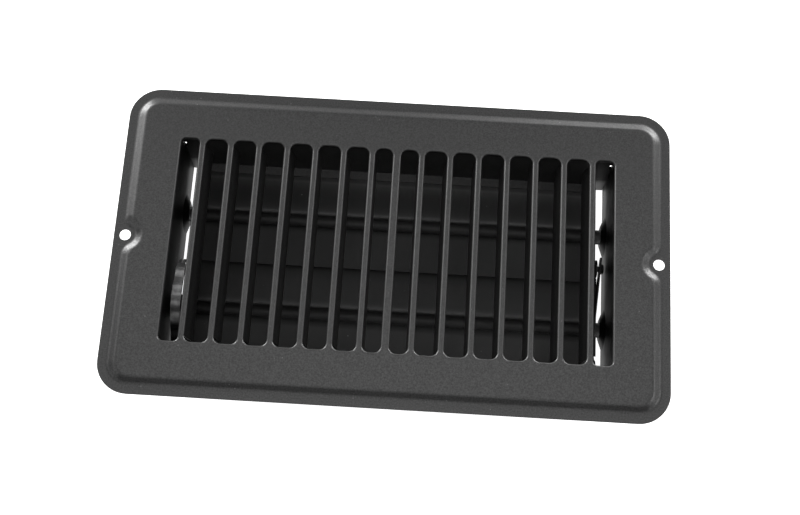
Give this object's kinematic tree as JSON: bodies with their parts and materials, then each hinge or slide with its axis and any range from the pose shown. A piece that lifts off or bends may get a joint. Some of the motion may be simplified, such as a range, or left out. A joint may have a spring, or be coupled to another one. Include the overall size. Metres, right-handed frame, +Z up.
{
  "type": "floor register",
  "caption": "Slotted sheet-steel floor register: raised rectangular face with screw holes over a short duct sleeve, with linked damper blades turned by a thumb lever.",
  "frame": {"origin": "centre of the rim's underside, which sits at floor level, midway between the two screw holes", "axes": "+Z up through the face, +X along the long side towards the link bar, -Y the front side"},
  "size_m": [0.2418, 0.1396, 0.0389],
  "materials": {
    "face_coat": "fine textured satin powder coat, charcoal black",
    "sleeve_coat": "satin black coat over folded sheet",
    "damper_coat": "satin black coat over beaded sheet",
    "zinc_steel": "bright zinc plate, slightly dull"
  },
  "bodies": {
    "housing": {"face_plate": "face_coat", "rear_side_wall": "sleeve_coat", "front_side_wall": "sleeve_coat", "left_end_wall": "sleeve_coat", "right_end_wall": "sleeve_coat"},
    "front_blade": {"front_damper_blade": "damper_coat", "thumb_lever": "zinc_steel", "front_link_rivet": "damper_coat"},
    "rear_blade": {"rear_damper_blade": "damper_coat", "rear_link_rivet": "damper_coat"},
    "link": {"link_bar": "damper_coat"}
  },
  "joints": [
    {"name": "front_blade_pivot", "type": "hinge", "parent": "housing", "child": "front_blade", "pos_m": [0, -0.02215, -0.0315], "axis": [-1, 0, 0], "range_deg": [0, 84]},
    {"name": "rear_blade_pivot", "type": "hinge", "parent": "housing", "child": "rear_blade", "pos_m": [0, 0.02215, -0.0315], "axis": [-1, 0, 0], "range_deg": [0, 84]},
    {"name": "link_pivot", "type": "hinge", "parent": "front_blade", "child": "link", "pos_m": [0.0902, -0.03961, -0.0252], "axis": [-1, 0, 0], "range_deg": [-84, 0]}
  ],
  "couplings": [
    {"joint": "rear_blade_pivot", "follows": "front_blade_pivot", "ratio": 1},
    {"joint": "link_pivot", "follows": "front_blade_pivot", "ratio": -1}
  ]
}
